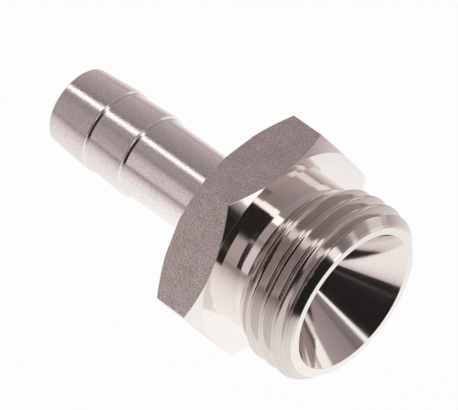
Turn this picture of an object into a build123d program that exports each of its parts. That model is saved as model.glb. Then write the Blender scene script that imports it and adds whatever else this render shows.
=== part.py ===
"""Threaded hose tail: a turned stainless fitting with a hexagon, a parallel pipe
thread and a two-barb tail for a push-on hose.

One bar of hexagon stock is turned into the whole fitting, so it is one solid.
The axis runs along X.  X = 0 is the hexagon's front face, which seats on the
sealing washer.  The thread points to +X and the hose tail to -X.  +Z is up, and
the fitting lies on one flat of its hexagon.
"""

import os
from math import cos, radians, tan

from build123d import *

# ---------------------------------------------------------------- hexagon
HEX_ACROSS_FLATS = 24.0
HEX_LENGTH = 6.0
HEX_CHAMFER = 1.0  # along the axis, at both ends
HEX_CHAMFER_ANGLE = 30.0  # from the end face

# ---------------------------------------------------------------- threaded end
THREAD_DIAMETER = 20.955  # G 1/2, over the crests
THREAD_PITCH = 1.814
THREAD_DEPTH = 1.162
THREAD_ANGLE = 55.0  # included
THREAD_CREST_X = 3.944  # where a crest crosses the +Y side
GROOVE_OVERCUT = 0.1  # the groove's section reaches this far over the crests
SPIGOT_LENGTH = 10.3  # from the seat face to the mouth
NECK_CLEARANCE = 0.12  # the neck lies this far under the thread's root
NECK_LENGTH = 2.6
NECK_FILLET = 0.2  # where the neck meets the seat face
NECK_RAMP_ANGLE = 30.0  # the run-out from the neck to the thread's crests
LEAD_CHAMFER_ANGLE = 45.0
RIM_WIDTH = 0.85  # flat ring round the mouth

# ---------------------------------------------------------------- hose tail
TAIL_LENGTH = 25.0  # from the hexagon to the tip
SHANK_DIAMETER = 9.45
TIP_DIAMETER = 9.3
BARB_DIAMETER = 10.2
BARB_ROOT_DIAMETER = 9.6  # where the second barb starts, behind the first
FIRST_BARB_LENGTH = 5.8
SECOND_BARB_LENGTH = 5.4
TIP_CHAMFER = 0.2
SHANK_FILLET = 0.3  # where the shank meets the hexagon

# ---------------------------------------------------------------- waterway
MOUTH_DIAMETER = 16.5
CONE_ANGLE = 67.0  # included
BORE_DIAMETER = 6.5
TIP_BORE_CHAMFER = 0.3

# ---------------------------------------------------------------- derived places
hex_corner_r = HEX_ACROSS_FLATS / 2 / cos(radians(30))
thread_r = THREAD_DIAMETER / 2
neck_r = thread_r - THREAD_DEPTH - NECK_CLEARANCE
mouth_r = MOUTH_DIAMETER / 2
rim_r = mouth_r + RIM_WIDTH
bore_r = BORE_DIAMETER / 2
shank_r = SHANK_DIAMETER / 2
tip_r = TIP_DIAMETER / 2
barb_r = BARB_DIAMETER / 2
barb_root_r = BARB_ROOT_DIAMETER / 2

hex_back_x = -HEX_LENGTH
tip_x = hex_back_x - TAIL_LENGTH
first_step_x = tip_x + FIRST_BARB_LENGTH
second_step_x = first_step_x + SECOND_BARB_LENGTH
cone_depth = (mouth_r - bore_r) / tan(radians(CONE_ANGLE / 2))
flank = tan(radians(THREAD_ANGLE / 2))
root_r = thread_r - THREAD_DEPTH
root_half = THREAD_PITCH / 4 - THREAD_DEPTH / 2 * flank  # half the groove's flat root
top_half = root_half + (THREAD_DEPTH + GROOVE_OVERCUT) * flank
bar_start_x = -HEX_CHAMFER
bar_end_x = SPIGOT_LENGTH + 1.5 * THREAD_PITCH
groove_turns = 5.5
groove_start_x = THREAD_CREST_X + THREAD_PITCH * (1 / 4 - 3 / 2)  # on the +Z side
over_r = thread_r + 0.5  # the spigot's cones are drawn to here, outside the bar
ramp_over_x = NECK_LENGTH + (over_r - neck_r) / tan(radians(NECK_RAMP_ANGLE))
lead_over_x = SPIGOT_LENGTH - (over_r - rim_r) / tan(radians(LEAD_CHAMFER_ANGLE))
chamfer_r = hex_corner_r - HEX_CHAMFER / tan(radians(HEX_CHAMFER_ANGLE))


# The hexagon: bar stock with its corners turned off to a cone at both ends, which
# leaves the bowed edges of the flats.
with BuildPart() as hexagon:
    with BuildSketch(Plane.YZ.offset(hex_back_x)):
        RegularPolygon(radius=HEX_ACROSS_FLATS / 2, side_count=6, major_radius=False)
    extrude(amount=HEX_LENGTH)
    with BuildSketch(Plane.XZ):
        with BuildLine():
            Polyline(
                (hex_back_x, 0),
                (hex_back_x, chamfer_r),
                (hex_back_x + HEX_CHAMFER, hex_corner_r),
                (-HEX_CHAMFER, hex_corner_r),
                (0, chamfer_r),
                (0, 0),
                close=True,
            )
        make_face()
    revolve(axis=Axis.X, mode=Mode.INTERSECT)

# The thread: round bar with one right-hand V groove cut along a helix.  The groove's
# long faces are ruled between the helices that its section's corners follow.  The bar
# is longer than the spigot, so that the groove ends inside it.
groove_section = (
    (root_r, -root_half),
    (thread_r + GROOVE_OVERCUT, -top_half),
    (thread_r + GROOVE_OVERCUT, top_half),
    (root_r, root_half),
)
corner_helices = [
    Edge.make_helix(
        THREAD_PITCH,
        THREAD_PITCH * groove_turns,
        radius,
        center=(groove_start_x + aside, 0, 0),
        normal=(1, 0, 0),
    )
    for radius, aside in groove_section
]
groove_walls = [
    Face.make_surface_from_curves(first, second)
    for first, second in zip(corner_helices, corner_helices[1:] + corner_helices[:1])
]
groove_ends = [
    Face(Wire.make_polygon([helix @ end for helix in corner_helices], close=True))
    for end in (0, 1)
]
thread_groove = Solid(Shell(groove_walls + groove_ends))

with BuildPart() as threaded_bar:
    with BuildSketch(Plane.YZ.offset(bar_start_x)):
        Circle(thread_r)
    extrude(amount=bar_end_x - bar_start_x)
    add(thread_groove, mode=Mode.SUBTRACT)

# The spigot: the bar turned down to a relief neck with a small corner fillet and a
# run-out ramp, a lead chamfer and a flat rim.
with BuildPart() as spigot:
    add(threaded_bar.part)
    with BuildSketch(Plane.XZ):
        with BuildLine():
            Polyline(
                (bar_start_x, 0),
                (bar_start_x, neck_r + NECK_FILLET),
                (0, neck_r + NECK_FILLET),
            )
            RadiusArc((0, neck_r + NECK_FILLET), (NECK_FILLET, neck_r), -NECK_FILLET)
            Polyline(
                (NECK_FILLET, neck_r),
                (NECK_LENGTH, neck_r),
                (ramp_over_x, over_r),
                (lead_over_x, over_r),
                (SPIGOT_LENGTH, rim_r),
                (SPIGOT_LENGTH, 0),
                (bar_start_x, 0),
            )
        make_face()
    revolve(axis=Axis.X, mode=Mode.INTERSECT)

with BuildPart() as fitting_body:
    # Hose tail: two shallow barbs that end in a sharp square step, then a plain shank.
    with BuildSketch(Plane.XZ):
        with BuildLine():
            Polyline(
                (hex_back_x + HEX_CHAMFER, 0),
                (tip_x, 0),
                (tip_x, tip_r - TIP_CHAMFER),
                (tip_x + TIP_CHAMFER, tip_r),
                (first_step_x, barb_r),
                (first_step_x, barb_root_r),
                (second_step_x, barb_r),
                (second_step_x, shank_r),
                (hex_back_x - SHANK_FILLET, shank_r),
            )
            RadiusArc(
                (hex_back_x - SHANK_FILLET, shank_r),
                (hex_back_x, shank_r + SHANK_FILLET),
                SHANK_FILLET,
            )
            Polyline(
                (hex_back_x, shank_r + SHANK_FILLET),
                (hex_back_x + HEX_CHAMFER, shank_r + SHANK_FILLET),
                (hex_back_x + HEX_CHAMFER, 0),
            )
        make_face()
    revolve(axis=Axis.X)

    add(hexagon.part)

    # Threaded spigot, which runs a little way into the hexagon.
    add(spigot.part)

    # Waterway: one bore from the tip, opening in a cone at the threaded mouth.
    with BuildSketch(Plane.XZ):
        with BuildLine():
            Polyline(
                (tip_x, 0),
                (tip_x, bore_r + TIP_BORE_CHAMFER),
                (tip_x + TIP_BORE_CHAMFER, bore_r),
                (SPIGOT_LENGTH - cone_depth, bore_r),
                (SPIGOT_LENGTH, mouth_r),
                (SPIGOT_LENGTH, 0),
                close=True,
            )
        make_face()
    revolve(axis=Axis.X, mode=Mode.SUBTRACT)

fitting_body.part.label = "fitting_body"

os.makedirs("parts", exist_ok=True)
export_step(fitting_body.part, "parts/fitting_body.step")
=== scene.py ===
"""Hose barb tail, dressed: one turned stainless body, its soft studio and its camera.

Lengths in the classes are millimetres in the part's own frame: X runs along the bore from the barbed
tip (-31) to the threaded mouth (+10.3), x = 0 is the hexagon's front face, and Z is up. Meshes are
written in metres.
"""

import logging
import math
from dataclasses import dataclass
from enum import IntEnum

import bpy
import numpy as np
from mathutils import Matrix, Vector


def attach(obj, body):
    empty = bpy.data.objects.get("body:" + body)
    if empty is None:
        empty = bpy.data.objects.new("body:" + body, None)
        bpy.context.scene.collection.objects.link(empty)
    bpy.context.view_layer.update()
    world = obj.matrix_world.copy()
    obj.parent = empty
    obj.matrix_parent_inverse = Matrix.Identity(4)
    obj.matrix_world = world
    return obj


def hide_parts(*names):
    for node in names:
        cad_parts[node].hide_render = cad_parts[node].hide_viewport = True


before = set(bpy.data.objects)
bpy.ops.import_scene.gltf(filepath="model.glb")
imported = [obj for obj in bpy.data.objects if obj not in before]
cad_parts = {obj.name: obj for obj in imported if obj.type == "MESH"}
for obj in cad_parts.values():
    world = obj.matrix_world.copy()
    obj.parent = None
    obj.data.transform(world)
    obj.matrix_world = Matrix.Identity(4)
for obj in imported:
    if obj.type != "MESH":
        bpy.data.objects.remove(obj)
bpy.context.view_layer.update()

log = logging.getLogger("hose_barb_tail")
MM = 0.001
MICRON = 1e-6
# a noise's values lie nearly all in this band
NOISE_LOW, NOISE_HIGH = 0.3, 0.7


def linear(code: str) -> tuple[float, float, float, float]:
    """Turns an sRGB hex colour into Blender's linear values, by the sRGB standard's own curve.

    Args:
        code: The colour as "#RRGGBB".

    Returns:
        Linear red, green and blue, and an alpha of 1.
    """
    raw = np.array([int(code[i:i + 2], 16) for i in (1, 3, 5)]) / 255.0
    rgb = np.where(raw <= 0.04045, raw / 12.92, ((raw + 0.055) / 1.055) ** 2.4)
    return (float(rgb[0]), float(rgb[1]), float(rgb[2]), 1.0)


def add_node(tree: bpy.types.NodeTree, kind: str, inputs: dict | None = None,
             **settings: object) -> bpy.types.Node:
    """Adds one node, sets it up and wires its inputs.

    Args:
        tree: The node tree that gets the node.
        kind: The node's type, such as "ShaderNodeMath".
        inputs: Socket name or number to a value, or to the output socket that feeds it.
        settings: The node's own properties.

    Returns:
        The new node.
    """
    node = tree.nodes.new(kind)
    for name, value in settings.items():
        setattr(node, name, value)
    for key, value in (inputs or {}).items():
        if isinstance(value, bpy.types.NodeSocket):
            tree.links.new(value, node.inputs[key])
        else:
            node.inputs[key].default_value = value
    return node


def blank_material(name: str) -> tuple[bpy.types.Material, bpy.types.NodeTree]:
    """Makes a material whose node tree is empty.

    Args:
        name: The material's name.

    Returns:
        The material and its tree.
    """
    mat = bpy.data.materials.new(name)
    mat.use_nodes = True
    mat.node_tree.nodes.clear()
    return mat, mat.node_tree


def direction(azimuth: np.ndarray, elevation: np.ndarray) -> tuple[np.ndarray, np.ndarray, np.ndarray]:
    """The unit direction (cos e sin a, -cos e cos a, sin e).

    Args:
        azimuth: Degrees from the -Y side toward +X.
        elevation: Degrees above the horizon.

    Returns:
        The direction's x, y and z.
    """
    a, e = np.radians(azimuth), np.radians(elevation)
    return np.cos(e) * np.sin(a), -np.cos(e) * np.cos(a), np.sin(e)


def eased(share: np.ndarray) -> np.ndarray:
    """An even step from 0 to 1, 3 s^2 - 2 s^3.

    Args:
        share: How far through the step, held between 0 and 1.

    Returns:
        The eased share.
    """
    held = np.clip(share, 0.0, 1.0)
    return held * held * (3.0 - 2.0 * held)


# ---------------------------------------------------------------------------------------------- finishes


@dataclass(frozen=True)
class TurnedSteel:
    """Stainless steel left by a lathe tool: bright, with fine rings that run round the bore's axis.

    The rings spread a highlight across themselves, so the metal is anisotropic: its tangent runs
    round the X axis, and a quarter turn lays the spread along the bore. A finishing feed of about
    0.05 mm is too fine to show, so the rings are drawn two to three times as coarse.
    """

    name: str
    colour: str
    dark: str
    roughness: float
    feed_mm: float
    depth_um: float
    anisotropy: float = 0.0
    grain_um: float = 0.0
    grain_mm: float = 0.26
    speckle: tuple[float, float] = (0.36, 0.56)
    mottle_mm: float = 2.2
    rough_spread: tuple[float, float] = (0.8, 1.25)
    quarter_turn: float = 0.25

    def build(self) -> bpy.types.Material:
        """Makes the material.

        Returns:
            The finished material.
        """
        mat, tree = blank_material(self.name)
        place = add_node(tree, "ShaderNodeTexCoord").outputs["Object"]
        apart = add_node(tree, "ShaderNodeSeparateXYZ", {0: place})
        # the tool's feed: rings that depend on x alone, with a finer and a coarser beat
        along = add_node(tree, "ShaderNodeMath", {0: apart.outputs["X"], 1: 1.0 / (self.feed_mm * MM)},
                         operation="MULTIPLY")
        rings = add_node(tree, "ShaderNodeTexNoise", {"W": along.outputs[0], "Scale": 1.0, "Detail": 3.0,
                                                      "Roughness": 0.6}, noise_dimensions="1D")
        # slow mottle of the surface, from handling and the passes of the tool
        mottle = add_node(tree, "ShaderNodeTexNoise", {"Vector": place, "Scale": 1.0 / (self.mottle_mm * MM),
                                                       "Detail": 4.0, "Roughness": 0.6})
        share = rings.outputs["Fac"]
        bump = add_node(tree, "ShaderNodeBump", {"Height": rings.outputs["Fac"], "Strength": 1.0,
                                                 "Distance": self.depth_um * MICRON})
        if self.grain_um:
            # a tumbled grain over the rings, which also speckles the colour
            grain = add_node(tree, "ShaderNodeTexNoise", {"Vector": place,
                                                          "Scale": 1.0 / (self.grain_mm * MM),
                                                          "Detail": 3.0, "Roughness": 0.75})
            bump = add_node(tree, "ShaderNodeBump", {"Height": grain.outputs["Fac"], "Strength": 1.0,
                                                     "Distance": self.grain_um * MICRON,
                                                     "Normal": bump.outputs[0]})
            share = add_node(tree, "ShaderNodeMapRange", {"Value": grain.outputs["Fac"],
                                                          "From Min": self.speckle[0],
                                                          "From Max": self.speckle[1]}).outputs[0]
        tint = add_node(tree, "ShaderNodeMix", {0: share, 6: linear(self.dark), 7: linear(self.colour)},
                        data_type="RGBA")
        rough = add_node(tree, "ShaderNodeMapRange", {"Value": mottle.outputs["Fac"],
                                                      "From Min": NOISE_LOW, "From Max": NOISE_HIGH,
                                                      "To Min": self.roughness * self.rough_spread[0],
                                                      "To Max": self.roughness * self.rough_spread[1]})
        shader = add_node(tree, "ShaderNodeBsdfPrincipled",
                          {"Base Color": tint.outputs[2], "Metallic": 1.0, "Roughness": rough.outputs[0],
                           "Normal": bump.outputs[0], "Anisotropic": self.anisotropy})
        if self.anisotropy:
            around = add_node(tree, "ShaderNodeTangent", direction_type="RADIAL", axis="X")
            tree.links.new(around.outputs[0], shader.inputs["Tangent"])
            shader.inputs["Anisotropic Rotation"].default_value = self.quarter_turn
        add_node(tree, "ShaderNodeOutputMaterial", {"Surface": shader.outputs[0]})
        return mat


@dataclass(frozen=True)
class MatteSteel:
    """Drawn bar's own skin: matte warm grey stainless with a fine, even, sandy grain."""

    name: str
    colour: str
    dark: str
    roughness: float
    grain_mm: float
    depth_um: float
    cloud_mm: float = 1.6
    cloud_share: float = 0.3
    speckle: tuple[float, float] = (0.44, 0.90)
    rough_spread: tuple[float, float] = (0.85, 1.2)

    def build(self) -> bpy.types.Material:
        """Makes the material.

        Returns:
            The finished material.
        """
        mat, tree = blank_material(self.name)
        place = add_node(tree, "ShaderNodeTexCoord").outputs["Object"]
        # the even grain of the skin
        grain = add_node(tree, "ShaderNodeTexNoise", {"Vector": place, "Scale": 1.0 / (self.grain_mm * MM),
                                                      "Detail": 3.0, "Roughness": 0.7})
        # wider clouds, from handling
        cloud = add_node(tree, "ShaderNodeTexNoise", {"Vector": place, "Scale": 1.0 / (self.cloud_mm * MM),
                                                      "Detail": 2.0, "Roughness": 0.5})
        both = add_node(tree, "ShaderNodeMath", {0: cloud.outputs["Fac"], 1: self.cloud_share,
                                                 2: grain.outputs["Fac"]}, operation="MULTIPLY_ADD")
        share = add_node(tree, "ShaderNodeMapRange", {"Value": both.outputs[0],
                                                      "From Min": self.speckle[0],
                                                      "From Max": self.speckle[1]})
        tint = add_node(tree, "ShaderNodeMix", {0: share.outputs[0], 6: linear(self.dark),
                                                7: linear(self.colour)}, data_type="RGBA")
        rough = add_node(tree, "ShaderNodeMapRange", {"Value": grain.outputs["Fac"],
                                                      "From Min": NOISE_LOW, "From Max": NOISE_HIGH,
                                                      "To Min": self.roughness * self.rough_spread[0],
                                                      "To Max": self.roughness * self.rough_spread[1]})
        bump = add_node(tree, "ShaderNodeBump", {"Height": grain.outputs["Fac"], "Strength": 1.0,
                                                 "Distance": self.depth_um * MICRON})
        shader = add_node(tree, "ShaderNodeBsdfPrincipled",
                          {"Base Color": tint.outputs[2], "Metallic": 1.0, "Roughness": rough.outputs[0],
                           "Normal": bump.outputs[0]})
        add_node(tree, "ShaderNodeOutputMaterial", {"Surface": shader.outputs[0]})
        return mat


# turned, then tumbled: a broad soft highlight along the tail, broken up by a fine grain
SATIN_TAIL = TurnedSteel("satin_turned_steel", colour="#FDFAF8", dark="#EBE3DF", roughness=0.12,
                         feed_mm=0.16, depth_um=0.45, anisotropy=0.6, grain_um=9.0)
# a finishing cut: nearly a mirror, so the chamfers, faces and neck show the studio sharply
BRIGHT_TURNED = TurnedSteel("bright_turned_steel", colour="#FBF7F4", dark="#F3ECE8", roughness=0.07,
                            feed_mm=0.14, depth_um=0.12)
# a form tool's cut: a little darker and duller than the faces
CUT_THREAD = TurnedSteel("cut_thread_steel", colour="#ECE6E2", dark="#D6CEC8", roughness=0.10,
                         feed_mm=0.10, depth_um=0.15)
# the seat of the cone: bright, with rings deep enough to draw the light out along the wall
POLISHED_CONE = TurnedSteel("polished_cone_steel", colour="#FBF6F3", dark="#DDD3CD", roughness=0.10,
                            feed_mm=0.10, depth_um=1.2)
# untouched bar: matte and grey against the turned faces beside it
MATTE_HEXAGON = MatteSteel("matte_bar_steel", colour="#F8F1ED", dark="#CEC4BF", roughness=0.22,
                           grain_mm=0.24, depth_um=75.0)


# ------------------------------------------------------------------------------------------ the fitting


class Zone(IntEnum):
    """The finish that a strip of the body carries, and its material slot on the mesh."""

    TAIL = 0
    BRIGHT = 1
    FLATS = 2
    THREAD = 3
    CONE = 4


FINISHES = {
    Zone.TAIL: SATIN_TAIL,
    Zone.BRIGHT: BRIGHT_TURNED,
    Zone.FLATS: MATTE_HEXAGON,
    Zone.THREAD: CUT_THREAD,
    Zone.CONE: POLISHED_CONE,
}


@dataclass
class Fitting:
    """The one turned body: barbed tail, hexagon, relief neck, pipe thread and cone seat."""

    # hexagon
    across_flats: float = 24.0
    hex_length: float = 6.0
    hex_chamfer_circle: float = 12.12
    hex_chamfer_slope: float = math.tan(math.radians(30.0))
    hex_corner_break: float = 0.10
    hex_edge_break: float = 0.09
    least_chamfer: float = 0.04
    least_chamfer_width: float = 0.03
    # front face, neck and thread
    face_flat_radius: float = 10.65
    face_rise: float = 0.11
    face_break: float = 0.1
    neck_radius: float = 9.1955
    neck_length: float = 2.6
    neck_ramp_slope: float = math.tan(math.radians(30.0))
    neck_support: float = 0.04
    thread_radius: float = 10.4775
    thread_pitch: float = 1.814
    thread_depth: float = 1.162
    thread_phase: float = 4.65 - 1.814 * 140.0 / 360.0
    flank_angle: float = math.radians(27.5)
    crest_radius: float = 0.249
    lead_end: float = 0.2
    # mouth, cone and bore
    spigot_length: float = 10.3
    rim_radius: float = 9.10
    rim_break: float = 0.06
    mouth_radius: float = 8.25
    cone_half_angle: float = math.radians(33.5)
    cone_break: float = 0.10
    bore_radius: float = 3.25
    bore_chamfer: float = 0.3
    bore_break: float = 0.05
    # tail
    tip_x: float = -31.0
    first_step_x: float = -25.2
    second_step_x: float = -19.8
    tip_radius: float = 4.65
    tip_chamfer: float = 0.2
    tip_break: float = 0.06
    barb_radius: float = 5.1
    barb_root_radius: float = 4.8
    barb_break: float = 0.05
    shank_radius: float = 4.725
    shank_fillet: float = 0.3
    root_lift: float = 0.11
    root_run: float = 0.34
    root_rise: float = 0.02
    root_break: float = 0.1
    # the mesh
    columns: int = 240
    beside_corner: tuple[float, ...] = (-0.6, -0.27, -0.14, 0.14, 0.27, 0.6)
    rows_per_pitch: int = 32
    arc_strips: int = 4
    arc_share: float = 0.86
    support: float = 0.05
    support_share: float = 0.06
    sharp_angle: float = math.radians(32.0)

    def angles(self) -> np.ndarray:
        """Column angles round the axis, with a few more beside each hexagon corner.

        Returns:
            Sorted angles in radians, from +Y toward +Z, the first one 0.
        """
        even = np.arange(self.columns) * (2.0 * np.pi / self.columns)
        near = np.radians(np.array(self.beside_corner))
        corners = np.radians(np.arange(6) * 60.0)[:, None] + near[None, :]
        every = np.concatenate([even, corners.ravel() % (2.0 * np.pi)])
        return np.unique(np.round(every, 9))

    def hex_radius(self, theta: np.ndarray) -> np.ndarray:
        """Distance from the axis to the hexagon's side.

        A flat lies at half the width across flats, so r = half / cos(angle from its middle). At a
        corner a small circle touches both flats: r = d cos(a) + sqrt(b^2 - (d sin a)^2), where a is the
        angle from the corner, b the break's radius and d its centre's distance.

        Args:
            theta: Column angles in radians.

        Returns:
            Radii in millimetres.
        """
        half = self.across_flats / 2.0
        from_corner = (theta + np.pi / 6.0) % (np.pi / 3.0) - np.pi / 6.0
        flat = half / np.cos(np.pi / 6.0 - np.abs(from_corner))
        b = self.hex_corner_break
        d = (half - b) / math.cos(math.pi / 6.0)
        touch = math.atan2(b * math.sin(math.pi / 6.0), d + b * math.cos(math.pi / 6.0))
        round_part = d * np.cos(from_corner) + np.sqrt(
            np.maximum(b * b - (d * np.sin(from_corner)) ** 2, 0.0))
        return np.where(np.abs(from_corner) < touch, round_part, flat)

    def envelope(self, x: np.ndarray) -> np.ndarray:
        """The blank that the thread is cut in: neck, 30 degree ramp, cylinder and 45 degree lead.

        Args:
            x: Places along the axis.

        Returns:
            Radii in millimetres.
        """
        ramp = self.neck_radius + np.maximum(x - self.neck_length, 0.0) * self.neck_ramp_slope
        lead = self.rim_radius + (self.spigot_length - x)
        return np.minimum(np.minimum(ramp, lead), self.thread_radius)

    def thread_form(self, x: np.ndarray, theta: np.ndarray) -> np.ndarray:
        """The 55 degree pipe thread with rounded crest and root, as a radius.

        With u the distance from the nearest crest along the axis, the crest is a circle of the crest
        radius, the flank a straight line of 27.5 degrees half angle that touches it, and the root the
        same circle turned over, so the form is the same seen from half its depth.

        Args:
            x: Places along the axis.
            theta: Angles round the axis in radians.

        Returns:
            Radii in millimetres.
        """
        pitch, rad = self.thread_pitch, self.crest_radius
        crest_at = self.thread_phase + pitch * theta / (2.0 * np.pi)
        u = np.abs((x - crest_at + pitch / 2.0) % pitch - pitch / 2.0)
        limit = rad * math.cos(self.flank_angle)
        crest = self.thread_radius - rad + np.sqrt(np.maximum(rad * rad - u * u, 0.0))
        middle = self.thread_radius - self.thread_depth / 2.0
        flank = middle - 1.0 / math.tan(self.flank_angle) * (u - pitch / 4.0)
        v = pitch / 2.0 - u
        root = self.thread_radius - self.thread_depth + rad - np.sqrt(np.maximum(rad * rad - v * v, 0.0))
        return np.where(u < limit, crest, np.where(v < limit, root, flank))

    def knots(self, theta: np.ndarray) -> tuple[list[tuple], list[tuple]]:
        """The profile's corners, from the bore's tip end round the outside to the thread, and back.

        Args:
            theta: Column angles in radians.

        Returns:
            Two lists, before and after the thread. Each corner is (x, radius, break radius, zone of the
            strip that follows), where x and radius are numbers or one value for each column.
        """
        tip, first, second = self.tip_x, self.first_step_x, self.second_step_x
        side = self.hex_radius(theta)
        ring = np.minimum(self.hex_chamfer_circle, side - self.least_chamfer_width)
        deep = np.maximum((side - ring) * self.hex_chamfer_slope, self.least_chamfer)
        before = [
            (tip + self.bore_chamfer, self.bore_radius, self.bore_break, Zone.BRIGHT),
            (tip, self.bore_radius + self.bore_chamfer, self.bore_break, Zone.TAIL),
            (tip, self.tip_radius - self.tip_chamfer, self.tip_break, Zone.TAIL),
            (tip + self.tip_chamfer, self.tip_radius, self.tip_break, Zone.TAIL),
            # each barb ends in a square step with a shallow run at its foot
            (first, self.barb_radius, self.barb_break, Zone.TAIL),
            (first, self.barb_root_radius + self.root_lift, self.root_break, Zone.TAIL),
            (first + self.root_run, self.barb_root_radius + self.root_rise, self.root_break, Zone.TAIL),
            (second, self.barb_radius, self.barb_break, Zone.TAIL),
            (second, self.shank_radius + self.root_lift, self.root_break, Zone.TAIL),
            (second + self.root_run, self.shank_radius, self.root_break, Zone.TAIL),
            (-self.hex_length, self.shank_radius, self.shank_fillet, Zone.BRIGHT),
            (-self.hex_length, ring, self.hex_edge_break, Zone.BRIGHT),
            (-self.hex_length + deep, side, self.hex_edge_break, Zone.FLATS),
            (-deep, side, self.hex_edge_break, Zone.BRIGHT),
            (0.0, ring, self.hex_edge_break, Zone.BRIGHT),
            (self.face_rise, self.face_flat_radius, self.face_break, Zone.BRIGHT),
            # the neck's corner is sharp, and a support row keeps its shading straight up to the ramp
            (self.face_rise, self.neck_radius, 0.0, Zone.BRIGHT),
            (self.neck_length - self.neck_support, self.neck_radius, 0.0, Zone.BRIGHT),
            (self.neck_length, self.neck_radius, 0.0, Zone.THREAD),
        ]
        cone_x = self.spigot_length - (self.mouth_radius - self.bore_radius) / math.tan(
            self.cone_half_angle)
        after = [
            (self.spigot_length - self.lead_end, self.rim_radius + self.lead_end, 0.0, Zone.BRIGHT),
            (self.spigot_length, self.rim_radius, self.rim_break, Zone.BRIGHT),
            (self.spigot_length, self.mouth_radius, self.rim_break, Zone.CONE),
            (cone_x, self.bore_radius, self.cone_break, Zone.CONE),
        ]
        return before, after

    def broken(self, points: list[tuple], count: int, corner_before: tuple,
               corner_after: tuple) -> tuple[np.ndarray, np.ndarray, list[int]]:
        """Rounds each corner of a profile with its own radius and adds a support row beside each arc.

        At a corner whose sides turn by an angle a, an arc of radius b touches both sides b tan(a/2)
        from the corner. Where a side is short, the arcs on it are made smaller and share its length
        as their radii are to each other. The arc's points are its centre plus b times a direction
        that turns from one side's normal to the other's.

        Args:
            points: Corners as (x, radius, break radius, zone).
            count: Number of columns.
            corner_before: The corner before the first one.
            corner_after: The corner after the last one.

        Returns:
            x and radius as arrays of rows by columns, and the zone after each row.
        """
        full = [corner_before, *points, corner_after]
        px = np.array([np.broadcast_to(np.asarray(p[0], float), (count,)) for p in full])
        pr = np.array([np.broadcast_to(np.asarray(p[1], float), (count,)) for p in full])
        rows_x, rows_r, zones = [], [], []
        length = np.hypot(np.diff(px, axis=0), np.diff(pr, axis=0))
        safe = np.maximum(length, 1e-9)
        tx, tr = np.diff(px, axis=0) / safe, np.diff(pr, axis=0) / safe
        for k in range(1, len(full) - 1):
            radius, zone, last_zone = full[k][2], int(full[k][3]), int(full[k - 1][3])
            if radius == 0.0:
                rows_x.append(px[k])
                rows_r.append(pr[k])
                zones.append(zone)
                continue
            ax, ar, bx, br = tx[k - 1], tr[k - 1], tx[k], tr[k]
            turn = np.arctan2(ax * br - ar * bx, ax * bx + ar * br)
            before = length[k - 1] * radius / max(radius + full[k - 1][2], 1e-9)
            after = length[k] * radius / max(radius + full[k + 1][2], 1e-9)
            reach = np.minimum(radius * np.abs(np.tan(turn / 2.0)),
                               self.arc_share * np.minimum(before, after))
            b = reach / np.maximum(np.abs(np.tan(turn / 2.0)), 1e-6)
            sign = np.sign(turn)
            cx = px[k] - ax * reach - ar * b * sign
            cr = pr[k] - ar * reach + ax * b * sign
            start = np.arctan2(ar, ax) - sign * np.pi / 2.0
            support = np.minimum(self.support, self.support_share * length[k - 1])
            rows_x.append(px[k] - ax * (reach + support))
            rows_r.append(pr[k] - ar * (reach + support))
            zones.append(last_zone)
            for i in range(self.arc_strips + 1):
                angle = start + turn * i / self.arc_strips
                rows_x.append(cx + b * np.cos(angle))
                rows_r.append(cr + b * np.sin(angle))
                zones.append(last_zone if 2 * i < self.arc_strips else zone)
            support = np.minimum(self.support, self.support_share * length[k])
            rows_x.append(px[k] + bx * (reach + support))
            rows_r.append(pr[k] + br * (reach + support))
            zones.append(zone)
        return np.array(rows_x), np.array(rows_r), zones

    def surface(self) -> tuple[np.ndarray, np.ndarray, np.ndarray]:
        """Works out the body's closed surface.

        The outline is carried round the axis, so a point is (x, r cos t, r sin t). In the thread the
        rows climb with the angle, x = start + pitch (t / 2 pi + row / rows per pitch), held between the
        ends, so they follow the helix, and the last column joins the first one pitch of rows further
        on. Rows that are held at an end are one row there.

        Returns:
            Points in metres, quads as vertex numbers, and the zone of each quad.
        """
        theta = self.angles()
        n = len(theta)
        before, after = self.knots(theta)
        # a corner past each list's end at the thread, where the corners are sharp and don't use its place
        past_neck = (self.neck_length + 1.0, self.neck_radius + 1.0, 0.0, Zone.THREAD)
        before_lead = (self.spigot_length - 1.0, self.rim_radius + 1.0, 0.0, Zone.THREAD)
        bx, br, bz = self.broken(before, n, after[-1], past_neck)
        ax, ar, az = self.broken(after, n, before_lead, before[0])
        per = self.rows_per_pitch
        low, high = float(bx[-1, 0]), float(ax[0, 0])
        turns = (high - low) / self.thread_pitch + 1.0
        count = math.ceil(turns * per)
        t = np.arange(count + 1)[:, None]
        free = low - self.thread_pitch + self.thread_pitch * (theta[None, :] / (2 * np.pi) + t / per)
        hx = np.clip(free, low, high)
        hr = np.minimum(self.envelope(hx), self.thread_form(hx, np.broadcast_to(theta, hx.shape)))
        x = np.vstack([bx[:-1], hx, ax[1:]])
        r = np.vstack([br[:-1], hr, ar[1:]])
        zones = np.array(bz[:-1] + [int(Zone.THREAD)] * count + az)
        rows = len(x)
        first, last = len(bx) - 1, len(bx) - 1 + count
        index = np.arange(rows * n).reshape(rows, n)
        home = index.copy()
        block = home[first:last + 1]
        for held, row in ((free <= low + 1e-9, first), (free >= high - 1e-9, last)):
            block[held] = np.broadcast_to(index[row], block.shape)[held]
        right = np.roll(home, -1, axis=1)
        right[first:last + 1, -1] = home[np.minimum(np.arange(first, last + 1) + per, last), 0]
        up, right_up = np.roll(home, -1, axis=0), np.roll(right, -1, axis=0)
        quads = np.stack([home, up, right_up, right], axis=-1).reshape(-1, 4)
        points = np.stack([x, r * np.cos(theta), r * np.sin(theta)], axis=-1).reshape(-1, 3) * MM
        return points, quads, np.repeat(zones, n)

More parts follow.
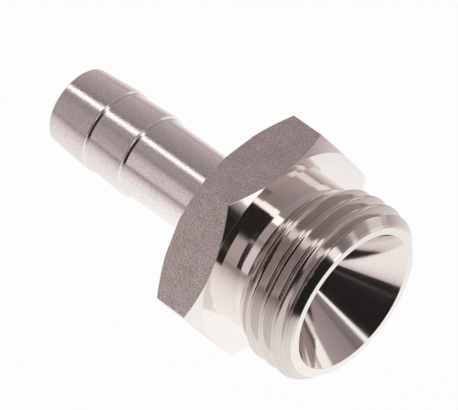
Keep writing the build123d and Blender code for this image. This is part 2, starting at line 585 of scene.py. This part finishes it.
    @staticmethod
    def without_repeats(quads: np.ndarray, zone: np.ndarray) -> tuple[np.ndarray, np.ndarray]:
        """Turns quads that share a corner with themselves into triangles, and drops empty ones.

        Args:
            quads: Four vertex numbers a face.
            zone: The zone of each face.

        Returns:
            Faces with -1 in place of a repeated corner, and their zones.
        """
        out = np.where(quads == np.roll(quads, 1, axis=1), -1, quads)
        folded = (quads[:, 0] == quads[:, 2]) | (quads[:, 1] == quads[:, 3])
        keep = ((out >= 0).sum(axis=1) >= 3) & ~folded
        return out[keep], zone[keep]

    def build(self) -> bpy.types.Object:
        """Makes the body as one closed mesh and dresses it.

        Returns:
            The body.
        """
        points, quads, zone = self.surface()
        quads, zone = self.without_repeats(quads, zone)
        used, packed = np.unique(quads[quads >= 0], return_inverse=True)
        quads[quads >= 0] = packed
        faces = [[v for v in f if v >= 0] for f in quads.tolist()]
        mesh = bpy.data.meshes.new("fitting_visual")
        mesh.from_pydata(points[used].tolist(), [], faces)
        mesh.polygons.foreach_set("material_index", zone.astype(np.int32))
        for slot in Zone:
            mesh.materials.append(FINISHES[slot].build())
        mesh.validate()
        mesh.shade_smooth()
        mesh.set_sharp_from_angle(angle=self.sharp_angle)
        body = bpy.data.objects.new("fitting_visual", mesh)
        bpy.context.scene.collection.objects.link(body)
        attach(body, "root")
        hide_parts("fitting_body")
        return body


# -------------------------------------------------------------------------------------------- the studio


@dataclass(frozen=True)
class Panel:
    """One panel of the studio, as ranges of azimuth and elevation in degrees, with soft edges."""

    azimuth: tuple[float, float]
    elevation: tuple[float, float]
    level: float
    soft: float = 4.0

    def over(self, glow: np.ndarray, azimuth: np.ndarray, elevation: np.ndarray) -> np.ndarray:
        """Lays the panel over a brightness: g + (level - g) times how far inside the panel it is.

        Args:
            glow: Brightness in each direction.
            azimuth: The directions' azimuths in degrees.
            elevation: The directions' elevations in degrees.

        Returns:
            The new brightness.
        """
        middle = (self.azimuth[0] + self.azimuth[1]) / 2.0
        off = np.abs((azimuth - middle + 180.0) % 360.0 - 180.0)
        inside = eased(((self.azimuth[1] - self.azimuth[0]) / 2.0 - off) / self.soft + 0.5)
        up = eased((elevation - self.elevation[0]) / self.soft + 0.5)
        down = eased((self.elevation[1] - elevation) / self.soft + 0.5)
        return glow + (self.level - glow) * inside * up * down


@dataclass
class Studio:
    """A pale floor inside a soft tent, which the camera looks through to a white world.

    Azimuth is measured from the -Y side toward +X. One strip light hangs along the part, over its
    top; panels are laid over each other in order. Soft widths are in the unit of what they soften.
    """

    floor_z: float = -12.0
    floor_radius: float = 2600.0
    floor_steep: tuple[float, ...] = (-89.0, -80.0, -70.0, -60.0, -50.0, -42.0)
    floor_last: float = -0.5
    tent_radius: float = 2400.0
    tent_low: float = -1.0
    tent_top: float = 89.9
    # the two sides of the strip, each as a - b d_z
    near_side: tuple[float, float] = (0.38, 0.03)
    far_side: tuple[float, float] = (0.52, 0.28)
    # the strip
    strip_level: float = 1.12
    strip_half: float = 0.095
    strip_soft: float = 0.035
    strip_lean: float = 0.1
    strip_bend: float = 0.28
    bend_from: float = 0.6
    pinch: float = 0.035
    pinch_width: float = 0.15
    strip_low: float = -1.0
    strip_low_soft: float = 3.0
    # the gap beyond it, which is darker toward +X
    gap_from: float = 0.06
    gap_from_soft: float = 0.03
    gap_to: float = 0.37
    gap_to_soft: float = 0.08
    gap_level: float = 0.27
    gap_drop: float = 0.13
    gap_drop_below: float = 54.0
    gap_above: float = 24.0
    gap_fade: float = 10.0
    # the floor's glow to the metal, painted light: darker toward the horizon, brighter toward the part
    floor_painted_falloff: float = 0.75
    floor_fade: float = 12.0
    horizon: float = 1.0
    horizon_soft: float = 4.0
    # cloth and paper
    cloth_dim: tuple[float, str] = (0.55, "#FFEDEF")
    cloth_bright: tuple[float, str] = (0.9, "#FFFEFD")
    paper_white: float = 0.97
    panels: tuple[Panel, ...] = (
        Panel((-95.0, 15.0), (40.0, 44.5), 0.27, 1.6),
        Panel((-70.0, 30.0), (-2.5, 2.5), 0.33, 2.5),
        Panel((142.0, 158.0), (0.0, 15.0), 0.80),
        Panel((158.0, 179.0), (-3.0, 17.0), 1.05),
        Panel((123.0, 129.0), (22.0, 29.0), 0.72),
        Panel((-36.0, -23.5), (3.0, 38.0), 0.66),
        Panel((-21.0, 40.0), (4.0, 75.0), 0.035),
        Panel((35.0, 93.5), (-7.0, 75.0), 0.020),
        Panel((26.5, 35.5), (3.0, 43.0), 0.46, 2.5),
        Panel((30.0, 39.0), (-7.0, 9.0), 0.02, 2.0),
    )

    def level(self, azimuth: np.ndarray, elevation: np.ndarray) -> np.ndarray:
        """The studio's brightness in a direction d, as the metal sees it.

        Above the horizon each side of the strip is a - b d_z. The strip lies where |across| is under
        its half width, with across = d_y - lean d_x - bend max(d_x - s, 0), so it bends near its +X end,
        and there its half width is less by pinch exp(-((d_x - s) / width)^2). A darker gap lies beyond
        it on the +Y side. Below the horizon the floor carries painted light, which brightens toward the part
        as
        1 - dip exp(elevation / fade).

        Args:
            azimuth: Degrees from -Y toward +X.
            elevation: Degrees above the horizon.

        Returns:
            Linear brightness, 1 being white.
        """
        dx, dy, dz = direction(azimuth, elevation)
        across = dy - self.strip_lean * dx - self.strip_bend * np.maximum(dx - self.bend_from, 0.0)
        near = self.near_side[0] - self.near_side[1] * dz
        far = self.far_side[0] - self.far_side[1] * dz
        out = np.where(across < 0.0, near, far)
        gap = (eased((across - self.gap_from) / self.gap_from_soft)
               * eased((self.gap_to - across) / self.gap_to_soft))
        drop = self.gap_drop * (dx > 0.0) * eased((self.gap_drop_below - elevation) / self.gap_fade)
        out = out + (self.gap_level - drop - out) * gap * eased((elevation - self.gap_above) / self.gap_fade)
        # painted light on the floor: its glow to the metal falls off toward the horizon and brightens toward
        # the part
        floor = 1.0 - self.floor_painted_falloff * np.exp(np.minimum(elevation, 0.0) / self.floor_fade)
        out = out + (floor - out) * eased((self.horizon - elevation) / self.horizon_soft)
        for panel in self.panels:
            out = panel.over(out, azimuth, elevation)
        half = self.strip_half - self.pinch * np.exp(-((dx - self.bend_from) / self.pinch_width) ** 2)
        strip = eased((half - np.abs(across)) / self.strip_soft + 0.5)
        shown = eased((elevation - self.strip_low) / self.strip_low_soft)
        return out + (self.strip_level - out) * strip * shown

    def glowing(self, name: str, azimuth: np.ndarray, elevation: np.ndarray,
                points: np.ndarray) -> bpy.types.Mesh:
        """A grid of rings whose points carry the studio's brightness as a "glow" attribute.

        Args:
            name: The mesh's name.
            azimuth: The grid's azimuths in degrees.
            elevation: The grid's elevations in degrees, seen from the part.
            points: The grid's places in metres.

        Returns:
            The mesh, closed round the azimuths.
        """
        index = np.arange(azimuth.size).reshape(azimuth.shape)
        right = np.roll(index, -1, axis=1)
        quads = np.stack([index[:-1], index[1:], right[1:], right[:-1]], axis=-1).reshape(-1, 4)
        mesh = bpy.data.meshes.new(name)
        mesh.from_pydata(points.reshape(-1, 3).tolist(), [], quads.tolist())
        glow = mesh.attributes.new("glow", "FLOAT", "POINT")
        glow.data.foreach_set("value", self.level(azimuth, elevation).ravel())
        return mesh

    def cloth(self, tree: bpy.types.NodeTree) -> bpy.types.Node:
        """The glow of the studio: pinkish where it is dim and white where it is bright.

        Args:
            tree: The node tree that gets the nodes.

        Returns:
            The emission node.
        """
        level = add_node(tree, "ShaderNodeAttribute", attribute_name="glow")
        bright = add_node(tree, "ShaderNodeMapRange", {"Value": level.outputs["Fac"],
                                                       "From Min": self.cloth_dim[0],
                                                       "From Max": self.cloth_bright[0]})
        tint = add_node(tree, "ShaderNodeMix", {0: bright.outputs[0], 6: linear(self.cloth_dim[1]),
                                                7: linear(self.cloth_bright[1])}, data_type="RGBA")
        return add_node(tree, "ShaderNodeEmission", {"Color": tint.outputs[2],
                                                     "Strength": level.outputs["Fac"]})

    def tent(self) -> bpy.types.Object:
        """The tent: a sphere of points at its radius in every direction, which glows inward.

        Returns:
            The tent, which the camera doesn't see.
        """
        az, el = np.meshgrid(np.arange(0.0, 360.0, 1.0),
                             np.append(np.arange(self.tent_low, 90.0, 1.0), self.tent_top))
        points = np.stack(direction(az, el), axis=-1)
        mesh = self.glowing("studio_tent", az, el, points * self.tent_radius * MM)
        mat, tree = blank_material("tent_cloth")
        mat.cycles.emission_sampling = "NONE"
        add_node(tree, "ShaderNodeOutputMaterial", {"Surface": self.cloth(tree).outputs[0]})
        mesh.materials.append(mat)
        tent = bpy.data.objects.new("studio_tent", mesh)
        tent.visible_camera = False
        tent.visible_shadow = False
        bpy.context.scene.collection.objects.link(tent)
        return tent

    def floor(self) -> bpy.types.Object:
        """A pale round floor under the flat that the hexagon lies on.

        Its rings stand at -z / tan(-e) from the part for each elevation e below the horizon, so the metal
        sees on it the same painted glow as the studio has in that direction.

        Returns:
            The floor.
        """
        rim = math.degrees(math.atan2(self.floor_z, self.floor_radius))
        down = np.concatenate([self.floor_steep, np.arange(-36.0, -0.9, 1.0), [self.floor_last, rim]])
        az, el = np.meshgrid(np.arange(0.0, 360.0, 2.0), down)
        a, reach = np.radians(az), -self.floor_z / np.tan(np.radians(-el))
        points = np.stack([reach * np.sin(a), -reach * np.cos(a), np.full(az.shape, self.floor_z)], axis=-1)
        mesh = self.glowing("studio_floor", az, el, points * MM)
        mesh.materials.append(self.paper())
        floor = bpy.data.objects.new("studio_floor", mesh)
        bpy.context.scene.collection.objects.link(floor)
        return floor

    def paper(self) -> bpy.types.Material:
        """White paper: white to the camera, painted light (the studio's glow) to metal, and plain where
        light falls.

        Returns:
            The finished material.
        """
        mat, tree = blank_material("white_paper")
        mat.cycles.emission_sampling = "NONE"
        path = add_node(tree, "ShaderNodeLightPath")
        shown = add_node(tree, "ShaderNodeMath", {0: path.outputs["Is Camera Ray"],
                                                  1: path.outputs["Is Transmission Ray"]},
                         operation="MAXIMUM")
        # a little plain paper stays in what the camera sees, so the floor keeps the part's shadow
        share = add_node(tree, "ShaderNodeMath", {0: shown.outputs[0], 1: self.paper_white},
                         operation="MULTIPLY")
        plain = add_node(tree, "ShaderNodeBsdfDiffuse", {"Color": linear("#F4F3F1")})
        white = add_node(tree, "ShaderNodeEmission", {"Color": linear("#FFFFFF"), "Strength": 1.0})
        seen = add_node(tree, "ShaderNodeMixShader", {0: share.outputs[0], 1: plain.outputs[0],
                                                      2: white.outputs[0]})
        # to glossy rays the paper shows painted light, the studio's glow with its falloff toward the horizon
        both = add_node(tree, "ShaderNodeMixShader", {0: path.outputs["Is Glossy Ray"], 1: seen.outputs[0],
                                                      2: self.cloth(tree).outputs[0]})
        add_node(tree, "ShaderNodeOutputMaterial", {"Surface": both.outputs[0]})
        return mat

    @staticmethod
    def world() -> None:
        """A white world behind everything, shown to the camera, to metal and through glass."""
        world = bpy.data.worlds.new("white_studio")
        bpy.context.scene.world = world
        world.use_nodes = True
        tree = world.node_tree
        tree.nodes.clear()
        path = add_node(tree, "ShaderNodeLightPath")
        seen = add_node(tree, "ShaderNodeMath", {0: path.outputs["Is Camera Ray"],
                                                 1: path.outputs["Is Glossy Ray"]}, operation="MAXIMUM")
        seen = add_node(tree, "ShaderNodeMath", {0: seen.outputs[0],
                                                 1: path.outputs["Is Transmission Ray"]},
                        operation="MAXIMUM")
        dim = add_node(tree, "ShaderNodeBackground", {"Color": linear("#FFFFFF"), "Strength": 0.5})
        white = add_node(tree, "ShaderNodeBackground", {"Color": linear("#FFFFFF"), "Strength": 1.0})
        both = add_node(tree, "ShaderNodeMixShader", {0: seen.outputs[0], 1: dim.outputs[0],
                                                      2: white.outputs[0]})
        add_node(tree, "ShaderNodeOutputWorld", {"Surface": both.outputs[0]})

    def build(self) -> list[bpy.types.Object]:
        """Sets up the floor, the tent, the world and the view settings.

        Returns:
            The floor and the tent.
        """
        floor, tent = self.floor(), self.tent()
        self.world()
        bpy.context.scene.view_settings.view_transform = "Standard"
        return [floor, tent]


@dataclass
class Viewpoint:
    """The camera: where it stands, how it is turned and how long its lens is."""

    azimuth: float = 45.4691
    elevation: float = 47.6024
    roll: float = -1.275
    distance: float = 455.073
    aside: float = -5.6968
    above: float = 4.9253
    frame_px: float = 458.0
    lens_px: float = 4300.0
    sensor_mm: float = 36.0
    clip_m: tuple[float, float] = (0.01, 20.0)

    def build(self) -> bpy.types.Object:
        """Makes the camera and gives it to the scene.

        Returns:
            The camera.
        """
        a, e, roll = (math.radians(v) for v in (self.azimuth, self.elevation, self.roll))
        back = Vector((math.cos(e) * math.sin(a), -math.cos(e) * math.cos(a), math.sin(e)))
        level = Vector((math.cos(a), math.sin(a), 0.0))
        upright = back.cross(level)
        right = level * math.cos(roll) + upright * math.sin(roll)
        up = upright * math.cos(roll) - level * math.sin(roll)
        place = (right * self.aside + up * self.above + back * self.distance) * MM
        data = bpy.data.cameras.new("camera")
        data.sensor_width = self.sensor_mm
        data.lens = self.lens_px * self.sensor_mm / self.frame_px
        data.clip_start, data.clip_end = self.clip_m
        camera = bpy.data.objects.new("camera", data)
        bpy.context.scene.collection.objects.link(camera)
        turn = Matrix((right, up, back)).transposed().to_4x4()
        camera.matrix_world = Matrix.Translation(place) @ turn
        bpy.context.scene.camera = camera
        return camera


def main() -> None:
    """Builds the fitting, the studio and the camera."""
    logging.basicConfig(level=logging.INFO, format="%(name)s: %(message)s")
    for piece in (Fitting().build(), *Studio().build()):
        log.info("%s: %d faces", piece.name, len(piece.data.polygons))
    camera = Viewpoint().build()
    log.info("%s: lens %.1f mm", camera.name, camera.data.lens)


if __name__ == "__main__":
    main()
